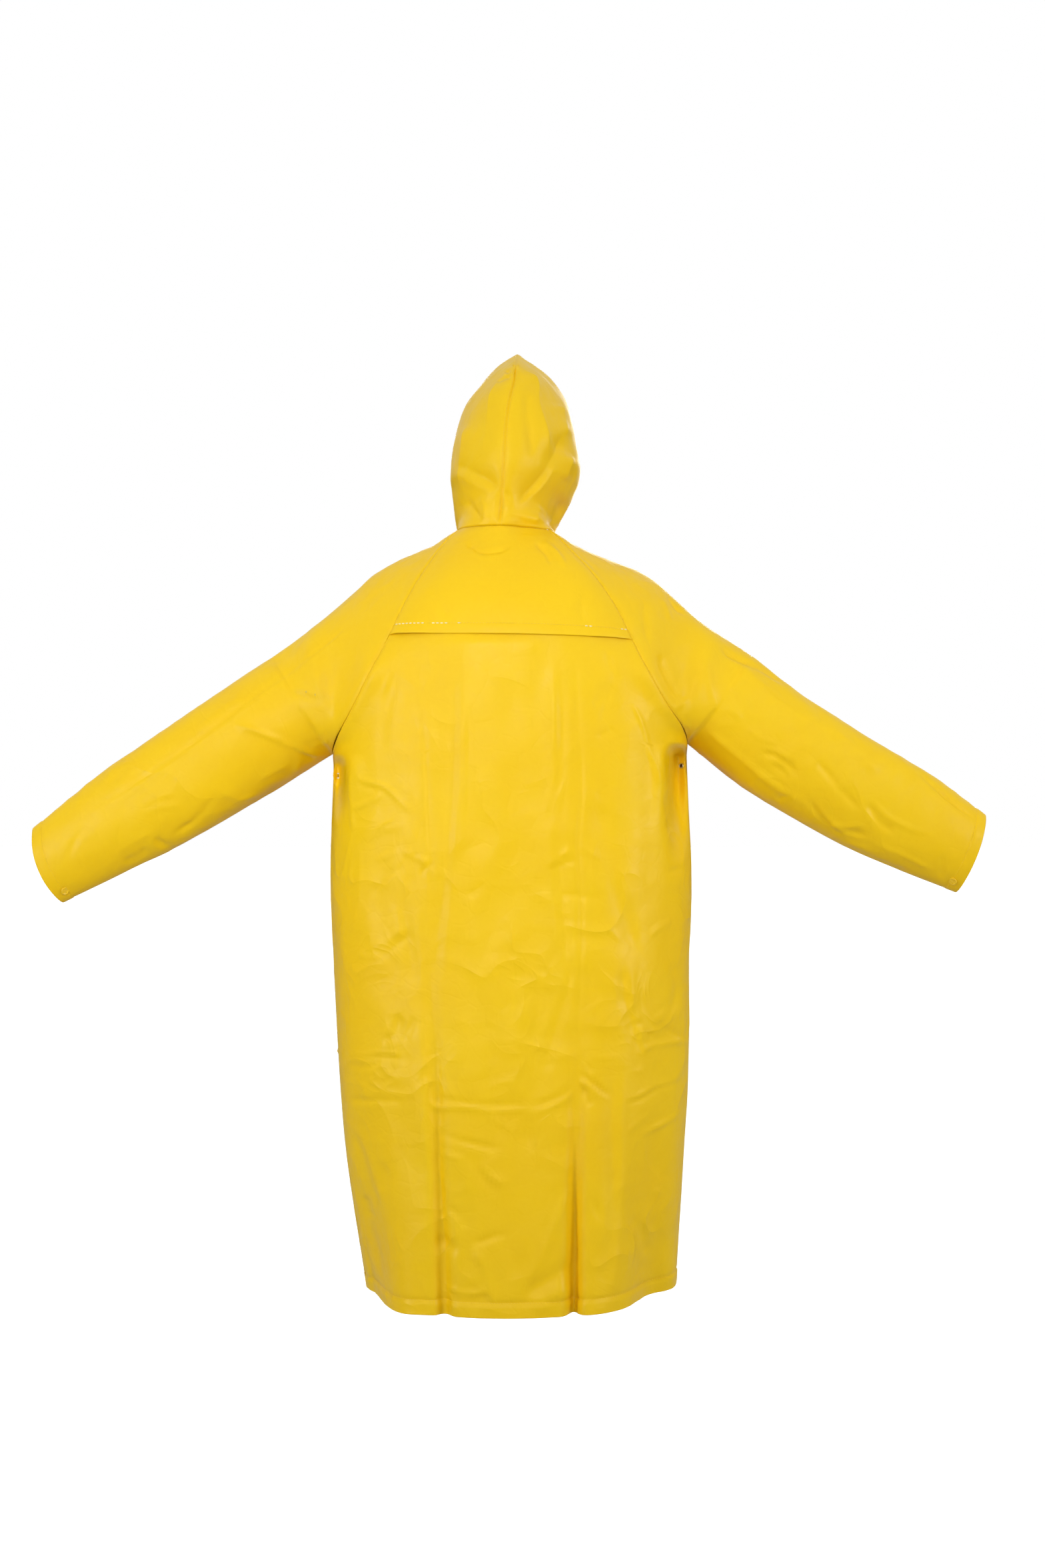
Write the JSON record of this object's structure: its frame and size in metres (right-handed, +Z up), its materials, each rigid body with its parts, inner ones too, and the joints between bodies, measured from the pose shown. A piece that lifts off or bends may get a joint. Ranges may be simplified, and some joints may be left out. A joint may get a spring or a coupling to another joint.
{
  "type": "hooded raincoat",
  "caption": "Hooded raincoat of coated cloth in its worn, hollow form: raglan sleeves, vent yoke on the back, two-piece hood, lapped front with press studs.",
  "frame": {"origin": "inside the neck opening, level with the neck seam, where the wearer's shoulders hold the coat up", "axes": "+Z up; +Y the way the coat's front faces; +X the wearer's right"},
  "size_m": [1.427, 0.3868, 1.4229],
  "materials": {
    "coated_cloth": "smooth semi-gloss yellow coating on a thin cloth",
    "snap_plastic": "yellow moulded plastic",
    "eyelet_metal": "nickel-plated"
  },
  "bodies": {
    "root": {"back_panel": "coated_cloth", "back_yoke": "coated_cloth", "front_left": "coated_cloth", "front_right": "coated_cloth", "sleeve_left": "coated_cloth", "sleeve_right": "coated_cloth", "hood_left": "coated_cloth", "hood_right": "coated_cloth", "cuff_snap_left": "snap_plastic", "cuff_snap_right": "snap_plastic", "front_snap_1": "snap_plastic", "front_snap_2": "snap_plastic", "front_snap_3": "snap_plastic", "front_snap_4": "snap_plastic", "front_snap_5": "snap_plastic", "vent_eyelet_left": "eyelet_metal", "vent_eyelet_right": "eyelet_metal"}
  },
  "joints": []
}
